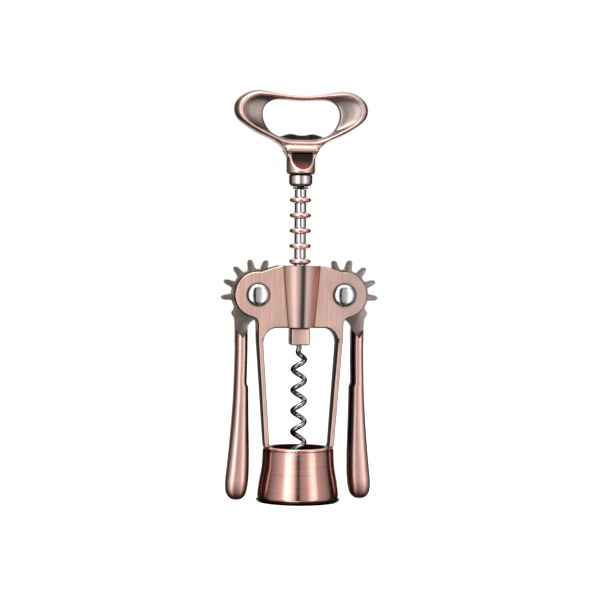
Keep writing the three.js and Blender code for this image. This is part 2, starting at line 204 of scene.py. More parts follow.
class Finish:
    """A metal finish under construction: one shader, with the nodes that steer it."""

    def __init__(self, name):
        self.material = bpy.data.materials.new(name)
        self.material.use_nodes = True
        self.tree = self.material.node_tree
        self.shader = self.tree.nodes["Principled BSDF"]
        self.shader.inputs["Metallic"].default_value = 1.0
        self.place = self.add("TexCoord")

    def add(self, kind, **links):
        node = self.tree.nodes.new("ShaderNode" + kind)
        for socket, value in links.items():
            self.feed(node.inputs[socket.replace("_", " ")], value)
        return node

    def feed(self, socket, value):
        if isinstance(value, bpy.types.NodeSocket):
            self.tree.links.new(value, socket)
        else:
            socket.default_value = value

    def sum(self, operation, a, b=0.0, c=0.0):
        node = self.tree.nodes.new("ShaderNodeMath")
        node.operation = operation
        for socket, value in zip(node.inputs, (a, b, c)):
            self.feed(socket, value)
        return node.outputs[0]

    def times(self, a, b):
        return self.sum("MULTIPLY", a, b)

    def less(self, a, b):
        return self.sum("SUBTRACT", a, b)

    def size(self, value):
        return self.sum("ABSOLUTE", value)

    def reach(self, a, b):
        """How far a point that lies a along and b across is from the middle."""
        return self.sum("SQRT", self.sum("ADD", self.times(a, a), self.times(b, b)))

    def zone(self, value, start, end, low=0.0, high=1.0):
        node = self.add("MapRange", Value=value)
        for socket, number in zip(("From Min", "From Max", "To Min", "To Max"), (start, end, low, high)):
            node.inputs[socket].default_value = number
        return node.outputs[0]

    def mix(self, share, a, b):
        node = self.tree.nodes.new("ShaderNodeMix")
        node.data_type = "RGBA"
        for socket, value in zip((node.inputs[0], node.inputs[6], node.inputs[7]), (share, a, b)):
            self.feed(socket, value)
        return node.outputs[2]

    def noise(self, scale, detail=3.0):
        turn = self.add("Mapping", Vector=self.place.outputs["Object"])
        turn.inputs["Scale"].default_value = scale
        grain = self.add("TexNoise", Vector=turn.outputs[0])
        grain.inputs["Scale"].default_value = 1.0
        grain.inputs["Detail"].default_value = detail
        return grain.outputs["Fac"]

    def axes(self, output):
        node = self.add("SeparateXYZ", Vector=self.place.outputs[output])
        return node.outputs["X"], node.outputs["Y"], node.outputs["Z"]

    def shift_roughness(self, place, amount):
        """Makes the finish rougher, or smoother where the amount is negative, at that place."""
        before = self.shader.inputs["Roughness"].links[0].from_socket
        self.feed(self.shader.inputs["Roughness"], self.sum("MULTIPLY_ADD", place, amount, before))

    def streaked(self, amount, turn=0.0):
        """Draws reflections out along or across the brush marks that run round the upright axis."""
        self.shader.inputs["Anisotropic"].default_value = amount
        self.shader.inputs["Anisotropic Rotation"].default_value = turn
        grain = self.add("Tangent")
        grain.direction_type = "RADIAL"
        grain.axis = "Z"
        self.feed(self.shader.inputs["Tangent"], grain.outputs[0])

    def scuffed(self, scale, share, bright, dull, roughness):
        """Polish with fine scuffs, which take a share of the duller colour and are rougher."""
        scuffs = self.noise((scale, scale, scale), 4.0)
        self.feed(self.shader.inputs["Roughness"], self.zone(scuffs, 0.3, 0.8, *roughness))
        return self.mix(self.zone(scuffs, *share), bright, dull)

    def brushed(self, scale, clean, dull, roughness, height):
        """Brush marks: noise stretched along the stroke, in the colour, the roughness and the height."""
        marks = self.noise(scale, 5.0)
        cloud = self.noise((90, 90, 60), 2.0)
        tone = self.mix(self.zone(marks, 0.3, 0.7), dull, clean)
        tone = self.mix(self.zone(cloud, 0.35, 0.75, 0.0, 0.45), tone, dull)
        self.feed(self.shader.inputs["Roughness"], self.zone(marks, 0.2, 0.8, *roughness))
        bump = self.add("Bump", Height=marks)
        bump.inputs["Strength"].default_value = height
        bump.inputs["Distance"].default_value = 0.00005
        self.feed(self.shader.inputs["Normal"], bump.outputs[0])
        return tone

    def coloured(self, tone):
        self.feed(self.shader.inputs["Base Color"], tone)
        return self.material


bell_foot, bell_rim, cork_hole = 0.02, 23.98, 11.6
foot_bead = arc(18.25, 0.9, 0.44, -62, 62, 6)
foot_outline = [(15.3, 0.3), (15.6, bell_foot), (18.2, bell_foot), *foot_bead, (18.3, 1.75), (18.1, 1.95)]
flare = [(18.22, 2.3), (18.28, 3), (18.0, 5.5), (17.5, 9), (16.9, 12.2), (16.35, 15.5), (16.08, 19)]
rim = [(15.98, 22.8), (15.82, 23.05), (15.9, 23.3), (15.86, 23.7), (15.6, bell_rim), (12.0, bell_rim)]
bore = [(11.7, 23.8), (cork_hole, 23.5), (cork_hole, 18), (13.6, 15), (15.3, 0.3)]
bell = turned("bell", foot_outline + flare + rim + bore, steps=144)

bell_bright = (0.95, 0.53, 0.45, 1)
bell_dull = (0.8, 0.41, 0.35, 1)
bore_painted_shade = (0.003, 0.002, 0.002, 1)
foot_painted_shade = (0.014, 0.006, 0.005, 1)
rim_groove_painted_shade = (0.1, 0.035, 0.03, 1)
copper = Finish("bell_copper")
z = copper.axes("Object")[2]
tone = copper.brushed((30, 30, 2600), bell_bright, bell_dull, (0.16, 0.25), 0.05)
facing = copper.add("VectorMath", Vector=copper.place.outputs["Object"])
facing.operation = "DOT_PRODUCT"
level = copper.add("VectorMath", Vector=copper.place.outputs["Normal"])
level.operation = "MULTIPLY"
level.inputs[1].default_value = (1, 1, 0)
copper.feed(facing.inputs[1], level.outputs[0])
# Painted shade: the inward-facing wall of the bore is painted near black. It is also made rougher.
bore_side = copper.zone(facing.outputs["Value"], -0.004, -0.0005, 1.0, 0.0)
tone = copper.mix(bore_side, tone, bore_painted_shade)
copper.shift_roughness(bore_side, 0.6)
# Painted shade: the lowest 2 mm of the bell, at its foot, is painted near black.
foot_edge = copper.zone(z, 0.0017, 0.0022, 1.0, 0.0)
tone = copper.mix(foot_edge, tone, foot_painted_shade)
# Painted shade: a dark red line in the small groove below the rim.
rim_groove = copper.zone(copper.size(copper.less(z, 0.02305)), 0.0001, 0.0004, 0.8, 0.0)
tone = copper.mix(rim_groove, tone, rim_groove_painted_shade)
copper.streaked(0.8, 0.25)
bell.data.materials.append(copper.coloured(tone))
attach(bell, "frame")
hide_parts("frame_bell")

# ---------------------------------------------------------------- frame casting
# The yoke and its two legs, one zinc casting with the bell: a slab with two pivot lobes, a conical
# boss that guides the rack, a slot on each side for the gears, and legs that thin out downwards.
# Its front is brushed up and down, and its sides and undersides are painted dark as shade.
pivot_x = 19.3
pivot_z = 91.5
frame_half_depth = 5
half_outline = [
    (9.5, 104.4), (13.4, 103.3), *arc(pivot_x, pivot_z, 10.3, 98, -80, 28), (20.3, 80.9), (19.5, 80.2),
    (19.05, 78.9), (18.9, 70.5), (17.2, 46.8), (15.85, 27), (15.5, 23.9), (13.0, 23.9), (13.5, 26.1),
    (15.0, 46.8), (16.7, 70.5), *arc(10.5, 70.7, 6.2, 5, 90, 10),
]


def choose(piece, kind, test):
    """Selects, in edit mode, the faces, edges or points whose middle and normal pass the test."""
    bpy.ops.mesh.select_mode(type={"verts": "VERT", "edges": "EDGE", "faces": "FACE"}[kind])
    bpy.ops.mesh.select_all(action="DESELECT")
    shape = bmesh.from_edit_mesh(piece.data)
    for part in getattr(shape, kind):
        points = [part] if kind == "verts" else part.verts
        middle = sum((point.co for point in points), Vector()) / len(points) / mm
        part.select_set(test(middle, getattr(part, "normal", None)))
    bmesh.update_edit_mesh(piece.data)


def bevel_corners(offset, segments, sharpness=40):
    """Rounds every edge of the piece that turns by more than the sharpness, in degrees."""
    bpy.ops.mesh.select_mode(type="EDGE")
    bpy.ops.mesh.select_all(action="DESELECT")
    bpy.ops.mesh.edges_select_sharp(sharpness=math.radians(sharpness))
    bpy.ops.mesh.bevel(offset=offset * mm, segments=segments, affect="EDGES", clamp_overlap=True)
    bpy.ops.mesh.select_mode(type="VERT")


def carve(piece, tool, operation="DIFFERENCE"):
    """Cuts the tool out of the piece, or joins it in, and clears it away."""
    bpy.ops.object.select_all(action="DESELECT")
    piece.select_set(True)
    bpy.context.view_layer.objects.active = piece
    cut = piece.modifiers.new("cut", "BOOLEAN")
    cut.operation = operation
    cut.solver = "EXACT"
    cut.object = tool
    bpy.ops.object.modifier_apply(modifier=cut.name)
    bpy.data.objects.remove(tool)


def slab(name, outline, front, back):
    """A front-view outline of (x, z) points filled and extruded from front to back. Stays in edit mode."""
    piece = drawn(name, [(x, front, z) for x, z in outline])
    shape = bmesh.from_edit_mesh(piece.data)
    ends = [point for point in shape.verts if len(point.link_edges) == 1]
    shape.edges.new(ends)
    bmesh.update_edit_mesh(piece.data)
    bpy.ops.mesh.select_all(action="SELECT")
    bpy.ops.mesh.edge_face_add()
    bpy.ops.mesh.extrude_region_move(TRANSFORM_OT_translate={"value": (0, (back - front) * mm, 0)})
    bpy.ops.mesh.select_all(action="SELECT")
    bpy.ops.mesh.normals_make_consistent(inside=False)
    return piece


def round_bar(name, radius, start, end, sides=96):
    """A plain bar from start to end, used as a cutting tool or a core."""
    start, end = Vector(start) * mm, Vector(end) * mm
    bpy.ops.object.select_all(action="DESELECT")
    bpy.ops.mesh.primitive_cylinder_add(
        vertices=sides, radius=radius * mm, depth=(end - start).length, location=(start + end) / 2,
        rotation=(end - start).to_track_quat("Z", "Y").to_euler(),
    )
    bar = bpy.context.object
    bar.name = name
    bpy.ops.object.transform_apply(location=True, rotation=True, scale=True)
    return bar


other_half = [(-x, z) for x, z in reversed(half_outline)]
casting = slab("frame_casting", half_outline + other_half, -frame_half_depth, frame_half_depth)
# (height below which the legs get thinner front to back, by how much)
for cut_z, narrower in [(79, 0.98), (70.5, 0.93), (58, 0.94), (46.8, 0.94), (36, 0.96), (27, 0.88)]:
    bpy.ops.mesh.select_all(action="SELECT")
    bpy.ops.mesh.bisect(plane_co=(0, 0, cut_z * mm), plane_no=(0, 0, 1))
    choose(casting, "verts", lambda middle, normal: middle.z < cut_z + 0.01)
    bpy.ops.transform.resize(value=(1, narrower, 1), center_override=(0, 0, 0))
bevel_corners(0.75, 3)
closed_up()
boss_foot = [(0, 76.9), (7.1, 76.9), (7.5, 77.1), (7.65, 77.6)]
boss = turned("boss", boss_foot + [(9.48, 103.6), (9.3, 104.2), (8.9, 104.4), (0, 104.4)])
carve(casting, boss, "UNION")
carve(casting, round_bar("bore", 5.05, (0, 0, 70), (0, 0, 110)))
for side in (-1, 1):
    lobe = side * pivot_x
    carve(casting, round_bar("slot", 16.1, (lobe, -2.3, pivot_z), (lobe, 2.3, pivot_z), 128))
    for face in (-1, 1):
        carve(casting, round_bar("seat", 5.15, (lobe, face * 4.6, pivot_z), (lobe, face * 6, pivot_z)))
bpy.ops.object.shade_smooth_by_angle(angle=math.radians(38))



def from_pivot(finish, x, z):
    """Distance from the nearer pivot, seen from the front."""
    return finish.reach(finish.less(finish.size(x), pivot_x * mm), finish.less(z, pivot_z * mm))


frame_bright = (0.97, 0.66, 0.57, 1)
frame_dull = (0.72, 0.44, 0.37, 1)
worn_grey = (0.52, 0.42, 0.39, 1)
far_lobe_painted_shade = (0.44, 0.36, 0.34, 1)
seat_painted_shade = (0.06, 0.03, 0.025, 1)
crease_painted_shade = (0.1, 0.05, 0.04, 1)
boss_painted_grey_reflection = (0.38, 0.32, 0.3, 1)
boss_painted_salmon_reflection = (0.86, 0.34, 0.25, 1)
boss_painted_pink_reflection = (0.6, 0.4, 0.36, 1)
boss_painted_dark_reflection = (0.03, 0.022, 0.02, 1)
side_painted_shade = (0.013, 0.008, 0.007, 1)
copper = Finish("frame_copper_brushed")
x, y, z = copper.axes("Object")
ny, nz = copper.axes("Normal")[1:]
across = copper.size(x)
tone = copper.brushed((2300, 700, 45), frame_bright, frame_dull, (0.36, 0.46), 0.08)
worn = copper.noise((55, 55, 28), 2.0)
tone = copper.mix(copper.zone(worn, 0.5, 0.72, 0.0, 0.42), tone, worn_grey)
# Painted shade: the right lobe is painted greyer than the left.
tone = copper.mix(copper.zone(x, 0.013, 0.022, 0.0, 0.5), tone, far_lobe_painted_shade)
# Painted shade: a dark ring in the seat round each rivet head.
tone = copper.mix(copper.zone(from_pivot(copper, x, z), 0.0048, 0.0058, 0.9, 0.0), tone, seat_painted_shade)
# the boss's edge, which stands a little further out the higher it is
crease_x = copper.sum("MULTIPLY_ADD", z, 0.0858, -0.00088)
crease = copper.zone(copper.size(copper.less(across, crease_x)), 0.0001, 0.00065, 0.85, 0.0)
on_boss = copper.zone(z, 0.0765, 0.0772)
# Painted shade: a dark line along the crease where the boss meets the plate.
tone = copper.mix(copper.times(crease, on_boss), tone, crease_painted_shade)
# painted reflections: upright bands on the round of the boss, grey, salmon and pink, and a dark streak in
# the middle
boss_front = copper.times(copper.zone(copper.size(y), 0.0051, 0.0054), on_boss)
for band, colour in [
    (copper.zone(across, 0.0028, 0.0052, 0.6, 0.0), boss_painted_grey_reflection),
    (copper.zone(x, 0.0032, 0.0048, 0.0, 0.7), boss_painted_salmon_reflection),
    (copper.zone(x, -0.0045, -0.0028, 0.7, 0.0), boss_painted_pink_reflection),
    (copper.zone(across, 0.0004, 0.0016, 0.9, 0.0), boss_painted_dark_reflection),
]:
    tone = copper.mix(copper.times(band, boss_front), tone, colour)
copper.shift_roughness(boss_front, -0.08)
copper.streaked(0.7)
# Painted shade: side faces away from the boss, and faces turned downwards, are painted near black.
side_face = copper.zone(copper.size(ny), 0.5, 0.88, 1.0, 0.0)
off_boss = copper.zone(copper.less(across, 0.0099), 0.0, 0.0004)
under = copper.zone(nz, -0.6, -0.3, 1.0, 0.0)
side_and_under_shade = copper.sum("MAXIMUM", copper.times(side_face, off_boss), under)
tone = copper.mix(copper.times(side_and_under_shade, 0.98), tone, side_painted_shade)
casting.data.materials.append(copper.coloured(tone))
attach(casting, "frame")
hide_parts("frame_yoke", "frame_leg_left", "frame_leg_right")

# ---------------------------------------------------------------- rivets and caps
# Two polished steel pivots: a domed head in front, seated in a shallow ring in the casting, and a
# domed cap pressed over the shank's end behind. They stay bright against the copper.
head_seat, head_radius, dome_height = 5.5, 4.8, 1.7
dome_steps = 14
steel_bright = (0.86, 0.87, 0.87, 1)
steel_dull = (0.62, 0.62, 0.6, 1)
head_edge_painted_shade = (0.06, 0.055, 0.05, 1)
steel = Finish("rivet_steel")
x, _, z = steel.axes("Object")
tone = steel.scuffed(900, (0.4, 0.75, 0.0, 0.3), steel_bright, steel_dull, (0.07, 0.16))
# Painted shade: a dark ring at the edge of each head, where it sits in its seat.
tone = steel.mix(steel.zone(from_pivot(steel, x, z), 0.0042, 0.0047, 0.0, 0.85), tone, head_edge_painted_shade)
rivet_steel = steel.coloured(tone)
dome = []
for i in range(dome_steps):
    rise = math.radians(i * 90 / dome_steps)
    dome.append((head_radius * math.cos(rise), head_seat + dome_height * math.sin(rise)))


def opened(piece):
    """Opens the piece in edit mode with all of it selected."""
    bpy.ops.object.select_all(action="DESELECT")
    piece.select_set(True)
    bpy.context.view_layer.objects.active = piece
    bpy.ops.object.mode_set(mode="EDIT")
    bpy.ops.mesh.select_all(action="SELECT")


for name, face in (("rivet", 1), ("cap", -1)):
    head_outline = [(0, 4.62), (4.55, 4.62), (head_radius, 4.85), *dome, (0, head_seat + dome_height)]
    head = turned("pivot_" + name, head_outline, steps=72)
    opened(head)
    bpy.ops.transform.rotate(value=math.radians(-90 * face), orient_axis="X", center_override=(0, 0, 0))
    shape = bmesh.from_edit_mesh(head.data)
    wrong_way = sum(point.co.y for point in shape.verts) * face > 0
    if wrong_way:
        bpy.ops.transform.rotate(value=math.pi, orient_axis="X", center_override=(0, 0, 0))
    bpy.ops.transform.translate(value=(pivot_x * mm, 0, pivot_z * mm))
    bpy.ops.object.mode_set(mode="OBJECT")
    head.data.materials.append(rivet_steel)
    twin = head.copy()
    twin.data = head.data.copy()
    bpy.context.collection.objects.link(twin)
    opened(twin)
    bpy.ops.transform.translate(value=(-2 * pivot_x * mm, 0, 0))
    bpy.ops.object.mode_set(mode="OBJECT")
    for piece, hand in ((head, "right"), (twin, "left")):
        piece.name = f"pivot_{name}_dome_{hand}"
        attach(piece, "frame")
        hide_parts(f"pivot_{name}_{hand}")

# ---------------------------------------------------------------- levers
# Each lever is one zinc casting: a flat gear plate that turns in the yoke's slot, and below it an
# oval arm whose shoulders close on the plate in a V. The arm is brushed copper, the plate and its
# teeth stay greyer, the side towards the spindle is painted dark as shade, and the arm gets darker towards
# its tip.
tooth_flank = [(11.2, 1.6), (12.4, 1.32), (14.2, 1.14), (14.95, 0.95), (15.4, 0.62), (15.64, 0.28)]
tooth = [(r, -w) for r, w in tooth_flank] + [(15.7, 0)] + [(r, w) for r, w in reversed(tooth_flank)]
rack_pitch = 6.76
first_ring = 133.3
pitch_radius = rack_pitch * 13 / (2 * math.pi)
mesh_angle = math.pi - (first_ring - 6.5 * rack_pitch - pivot_z) / pitch_radius
root_radius = 11.2
eye_radius = 2.7
gear = []
for count in range(-1, 8):
    angle = mesh_angle - count * 2 * math.pi / 13
    cos, sin = math.cos(angle), math.sin(angle)
    gear += [(pivot_x + r * cos + w * sin, pivot_z + r * sin - w * cos) for r, w in tooth]
plate_outline = [
    *gear, *arc(pivot_x, pivot_z, root_radius, -20, -28, 1), (29.3, 85.0), (30.2, 83.9), (30.3, 83.1),
    (29.9, 82.2), (29.1, 81.0), (28.8, 78.5), (28.7, 74), (26.2, 69), (23.6, 74), (23.4, 77.5), (22.3, 79.1),
    (20.6, 80.4), *arc(pivot_x, pivot_z, root_radius, 262, 232, 5),
]
arm_sections = [  # height, inner x, outer x, half depth
    (77, 23.3, 28.8, 5), (72, 23.28, 28.8, 5), (66, 23.25, 28.8, 5), (59, 23.35, 28.95, 5),
    (53.2, 23.5, 29.1, 5), (52.2, 23.42, 29.13, 5), (51.2, 22.9, 29.18, 5), (50.4, 22.75, 29.2, 5),
    (44, 22.65, 29.5, 5),
    (36, 22.5, 30.05, 5), (29, 22.3, 30.6, 5), (22, 22.12, 31.25, 5), (15, 22.1, 31.95, 5),
    (11.5, 22.2, 32.35, 4.95), (8.6, 22.45, 32.6, 4.9), (6.2, 22.8, 32.6, 4.75), (4.2, 23.25, 32.3, 4.4),
    (2.7, 23.95, 31.6, 3.9), (1.7, 24.85, 30.7, 3.2), (1.2, 25.7, 29.9, 2.3), (0.92, 26.8, 28.8, 1.0),
]


def ring_of(section, sides=40):
    """A rounded section as one point for each side, squarer than an ellipse."""
    height, inner, outer, depth = section
    squareness = 0.78
    points = []
    for i in range(sides):
        angle = 2 * math.pi * i / sides
        across = math.copysign(abs(math.cos(angle)) ** squareness, math.cos(angle))
        along = math.copysign(abs(math.sin(angle)) ** squareness, math.sin(angle))
        x = (inner + outer) / 2 + (outer - inner) / 2 * across
        points.append(Vector((x, depth * along, height)) * mm)
    return points


def lofted(name, rings):
    """A skin over a row of rings: a circle, set to the first ring and extruded to each next one."""
    bpy.ops.object.select_all(action="DESELECT")
    bpy.ops.mesh.primitive_circle_add(vertices=len(rings[0]), radius=mm)
    piece = bpy.context.object
    piece.name = name
    bpy.ops.object.mode_set(mode="EDIT")
    bpy.ops.mesh.select_mode(type="VERT")
    shape = bmesh.from_edit_mesh(piece.data)
    station = shape.verts.layers.int.new("station")
    for i, point in enumerate(shape.verts):
        point[station] = i
    for count, ring in enumerate(rings):
        if count:
            bpy.ops.mesh.extrude_edges_move(TRANSFORM_OT_translate={"value": (0, 0, 0)})
        shape = bmesh.from_edit_mesh(piece.data)
        station = shape.verts.layers.int["station"]
        for point in shape.verts:
            if point.select:
                point.co = ring[point[station]]
        bmesh.update_edit_mesh(piece.data)
    return piece


lever_bright = (0.96, 0.64, 0.57, 1)
lever_dull = (0.84, 0.5, 0.44, 1)
inner_painted_shade = (0.02, 0.01, 0.009, 1)
tip_brown = (0.16, 0.045, 0.035, 1)
plate_grey = (0.2, 0.17, 0.155, 1)
plate_pale = (0.32, 0.25, 0.225, 1)
for hand, side in (("right", 1), ("left", -1)):
    arm = lofted("arm_blank", [ring_of(section) for section in arm_sections])
    bpy.ops.mesh.select_all(action="DESELECT")
    bpy.ops.mesh.select_non_manifold(extend=False, use_wire=False, use_multi_face=False, use_verts=False)
    bpy.ops.mesh.fill_holes(sides=0)
    if side < 0:
        bpy.ops.mesh.select_all(action="SELECT")
        bpy.ops.transform.resize(value=(-1, 1, 1), center_override=(0, 0, 0))
    closed_up()
    wedge = slab("wedge", [(side * 20.4, 80.2), (side * 31.8, 80.2), (side * 26.05, 72.2)], -8, 8)
    bpy.ops.object.mode_set(mode="OBJECT")
    carve(arm, wedge)
    lever = slab(f"lever_casting_{hand}", [(side * x, z) for x, z in plate_outline], -2, 2)
    bevel_corners(0.3, 2)
    closed_up()
    carve(lever, arm, "UNION")
    eye_x = side * pivot_x
    carve(lever, round_bar("eye", eye_radius, (eye_x, -5, pivot_z), (eye_x, 5, pivot_z), 48))
    bpy.ops.object.shade_smooth_by_angle(angle=math.radians(36))

    copper = Finish(f"lever_copper_{hand}")
    y, z = copper.axes("Object")[1:]
    nx = copper.axes("Normal")[0]
    tone = copper.brushed((1500, 1500, 40), lever_bright, lever_dull, (0.3, 0.4), 0.08)
    # Painted shade: the side of the arm that faces the spindle is painted near black.
    inward = copper.zone(copper.times(nx, -side), 0.2, 0.6)
    tone = copper.mix(copper.times(inward, 0.95), tone, inner_painted_shade)
    tone = copper.mix(copper.zone(z, 0.002, 0.01, 0.92, 0.0), tone, tip_brown)
    near_middle = copper.zone(copper.size(y), 0.00205, 0.0024, 1.0, 0.0)
    on_plate = copper.times(near_middle, copper.zone(z, 0.0685, 0.0695))
    patches = copper.zone(copper.noise((160, 160, 160)), 0.35, 0.7)
    tone = copper.mix(on_plate, tone, copper.mix(patches, plate_grey, plate_pale))
    lever.data.materials.append(copper.coloured(tone))
    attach(lever, f"{hand}_lever")
    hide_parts(f"lever_{hand}")

# ---------------------------------------------------------------- rack
# A sleeve with nine lens-shaped rings that the gears climb. Turned steel: the stem between the
# rings is bright, and only the rings keep their copper, with painted shade where they meet the stem.
rack_bore, stem_radius = 1.85, 2.6
rack_foot, rack_top = 77.9, 138
ring_half = [(2.6, 1.55), (2.9, 1.42), (3.7, 1.18), (4.3, 0.9), (4.66, 0.58), (4.8, 0.2)]
rack_outline = [(rack_bore, rack_foot), (2.5, rack_foot), (stem_radius, 78)]
for count in range(8, -1, -1):
    ring_z = first_ring - count * rack_pitch
    rack_outline += [(radius, ring_z - rise) for radius, rise in ring_half]
    rack_outline += [(radius, ring_z + rise) for radius, rise in reversed(ring_half)]
rack_outline += [(stem_radius, 137.9), (2.5, rack_top), (rack_bore, rack_top), (rack_bore, rack_foot)]
rack = turned("rack", rack_outline, steps=72)

ring_bright = (0.98, 0.72, 0.64, 1)
ring_dull = (0.88, 0.56, 0.48, 1)
ring_root_painted_shade = (0.02, 0.012, 0.011, 1)
stem_steel = (0.8, 0.78, 0.79, 1)
copper = Finish("rack_copper")
x, y = copper.axes("Object")[:2]
tone = copper.brushed((60, 60, 2200), ring_bright, ring_dull, (0.24, 0.36), 0.06)
out = copper.reach(x, y)
# Painted shade: the rings are painted dark where they meet the stem.
tone = copper.mix(copper.zone(out, 0.003, 0.0035, 1.0, 0.0), tone, ring_root_painted_shade)
stem = copper.zone(out, 0.00262, 0.0027, 1.0, 0.0)
tone = copper.mix(stem, tone, stem_steel)
copper.shift_roughness(stem, -0.2)
rack.data.materials.append(copper.coloured(tone))
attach(rack, "rack")
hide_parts("rack_sleeve")

# ---------------------------------------------------------------- spindle, washers and pins
# Turned steel, blackened, inside the rack, the handle and the block. Only edges of it show, so the
# pieces keep their CAD shapes and get a fine turned finish.
steel_black = (0.012, 0.011, 0.01, 1)
steel_rubbed = (0.05, 0.045, 0.04, 1)
steel = Finish("blackened_steel")
marks = steel.noise((150, 150, 3200), 4.0)
tone = steel.mix(steel.zone(marks, 0.3, 0.7), steel_black, steel_rubbed)
steel.feed(steel.shader.inputs["Roughness"], steel.zone(marks, 0.2, 0.8, 0.2, 0.34))
blackened_steel = steel.coloured(tone)
for name in ("spindle", "thrust_washer_upper", "thrust_washer_lower", "handle_pin", "worm_pin"):
    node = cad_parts[name]
    node.data.materials.clear()
    node.data.materials.append(blackened_steel)

# ---------------------------------------------------------------- collar
# A loose ring with a rounded bottom that takes the handle's thrust on top of the rack. Turned,
# plated like the rest and polished rather than brushed.
collar_foot, collar_top = 139.25, 144.42
rounded_foot = [(3.5, collar_foot), (4.1, 139.42), (4.65, 139.8), (5.0, 140.3), (5.2, 140.9), (5.25, 141.5)]
collar = turned(
    "collar",
    [(rack_bore, collar_foot), *rounded_foot, (5.25, 143.9), (5.15, 144.2), (4.95, collar_top)]
    + [(rack_bore, collar_top), (rack_bore, collar_foot)],
    steps=96,
)
collar_bright = (0.95, 0.8, 0.78, 1)
collar_dull = (0.88, 0.68, 0.65, 1)
collar_foot_painted_shade = (0.02, 0.012, 0.011, 1)
joint_gap_painted_shade = (0.01, 0.006, 0.005, 1)
copper = Finish("collar_copper")
z = copper.axes("Object")[2]
tone = copper.brushed((60, 60, 1600), collar_bright, collar_dull, (0.2, 0.28), 0.05)
# Painted shade: the rounded foot of the collar is painted dark.
tone = copper.mix(copper.zone(z, 0.1397, 0.1404, 0.95, 0.0), tone, collar_foot_painted_shade)
# Painted shade: a black band at the top of the collar, beside the gap under the handle.
tone = copper.mix(copper.zone(z, 0.1438, 0.14405, 0.0, 0.95), tone, joint_gap_painted_shade)
collar.data.materials.append(copper.coloured(tone))
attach(collar, "screw")
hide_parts("handle_collar")

# ---------------------------------------------------------------- handle
# One zinc casting: a raised rim runs round the two lobes, each lobe is hollowed from the rim down
# to the bottle-cap opening, and a round neck with a thumb-nail scoop takes the spindle. The rim is
# brushed bright, the hollows stay satin and grey-brown.
stations = [  # (point of the outer outline, point of the opening that lies across from it)
    ((0, 179.3), (0, 177)), ((4, 179.4), (3.6, 177.1)), ((8, 179.8), (7.4, 177.35)),
    ((14, 180.9), (11.6, 177.25)), ((19.5, 181.6), (14.4, 176.3)), ((24.3, 180.5), (16.1, 174.8)),
    ((28.3, 177.6), (17.0, 173.1)),
    ((30, 173.9), (17.3, 171.3)), ((29.2, 169.9), (17.05, 168.9)), ((26.1, 166.6), (16.0, 166.2)),
    ((19.8, 162.6), (14.0, 163.5)), ((13, 159.5), (11.0, 161.6)), ((9.6, 157.5), (8.0, 160.7)),
    ((6.8, 156.7), (5.0, 160.2)), ((3.2, 156.6), (2.2, 160.0)),
]
mirror = [((-a[0], a[1]), (-b[0], b[1])) for a, b in reversed(stations[1:])]
stations = stations + mirror


def flowing(points, cuts):
    """A smooth closed curve through the points, with that many steps between each two."""
    smooth = []
    count = len(points)
    for i in range(count):
        p0, p1, p2, p3 = (Vector(points[(i + k - 1) % count]) for k in range(4))
        for j in range(cuts):
            t = j / cuts
            smooth.append(
                0.5 * (2 * p1 + (p2 - p0) * t + (2 * p0 - 5 * p1 + 4 * p2 - p3) * t * t
                       + (3 * p1 - p0 - 3 * p2 + p3) * t * t * t)
            )
    return smooth


outer_line = flowing([a for a, b in stations], 6)
inner_line = flowing([b for a, b in stations], 6)
# how far in from the outer outline (in widths of the rim up to 1, then on towards the opening up to
# 2), and how deep in front of the middle plane, for a full-width lobe and for a narrow bar
handle_rows = [
    (0.0, 0.0, 0.0), (0.02, 1.1, 1.1), (0.09, 2.2, 2.1), (0.21, 3.3, 3.0), (0.36, 4.15, 3.8),
    (0.54, 4.75, 4.4), (0.72, 5.0, 4.8), (0.88, 4.8, 4.85), (1.0, 4.3, 4.65), (1.1, 3.7, 4.4),
    (1.3, 2.9, 4.1), (1.6, 2.1, 3.6), (1.85, 1.65, 2.9), (1.97, 1.3, 2.0), (2.0, 0.6, 1.0), (2.0, 0.0, 0.0),
]


def handle_ring(share, deep, shallow, face):
    """One line round the handle at that share of the way in, on the front (-1) or the back (1)."""
    ring = []
    for outer, inner in zip(outer_line, inner_line):
        width = (outer - inner).length
        rim = min(3.7, 0.55 * width)
        way = (inner - outer) / width
        distance = share * rim if share <= 1 else rim + (share - 1) * (width - rim)
        narrow = min(1, max(0, (7.5 - width) / 4))
        depth = deep + (shallow - deep) * narrow
        spot = outer + way * distance
        ring.append(Vector((spot.x, face * depth, spot.y)) * mm)
    return ring


front_rings = [handle_ring(*row, -1) for row in handle_rows]
back_rings = [handle_ring(*row, 1) for row in reversed(handle_rows[:-1])]
handle = lofted("handle_casting", front_rings + back_rings)
closed_up()
neck_radius, neck_foot, neck_top = 6.4, 144.6, 157.8
rounded_foot = [(5.4, neck_foot), (5.9, 144.75), (6.3, 145.25), (neck_radius, 145.8)]
swelling = [(neck_radius, 152.8), (6.55, 154.0), (6.9, 155.4), (5.6, 156.9), (3.0, 157.6)]
neck = turned("neck", [(0, neck_foot), *rounded_foot, *swelling, (0, neck_top)], steps=72)
scoop = round_bar("thumb_scoop", 11, (-12, -14.4, 153.7), (12, -14.4, 153.7), 160)
web_side = [(10.8, 159.0), (9.2, 157.2), (7.9, 155.9), (7.1, 154.6), (6.6, 153.2), (6.35, 151.8)]
web = slab("web", web_side + [(-x, z) for x, z in reversed(web_side)], -4.3, 4.3)
bevel_corners(1.3, 4)
closed_up()
roll_half, roll_out, roll_z = 7.6, 3.65, 155.45
rolls = []
for face in (-1, 1):
    y = face * roll_out
    rolls.append(round_bar("roll", 1.6, (-roll_half, y, roll_z), (roll_half, y, roll_z), 32))
    bpy.ops.object.mode_set(mode="EDIT")
    bevel_corners(1.45, 6)
    closed_up()
carve(neck, web, "UNION")
carve(neck, scoop)
bpy.ops.object.select_all(action="DESELECT")
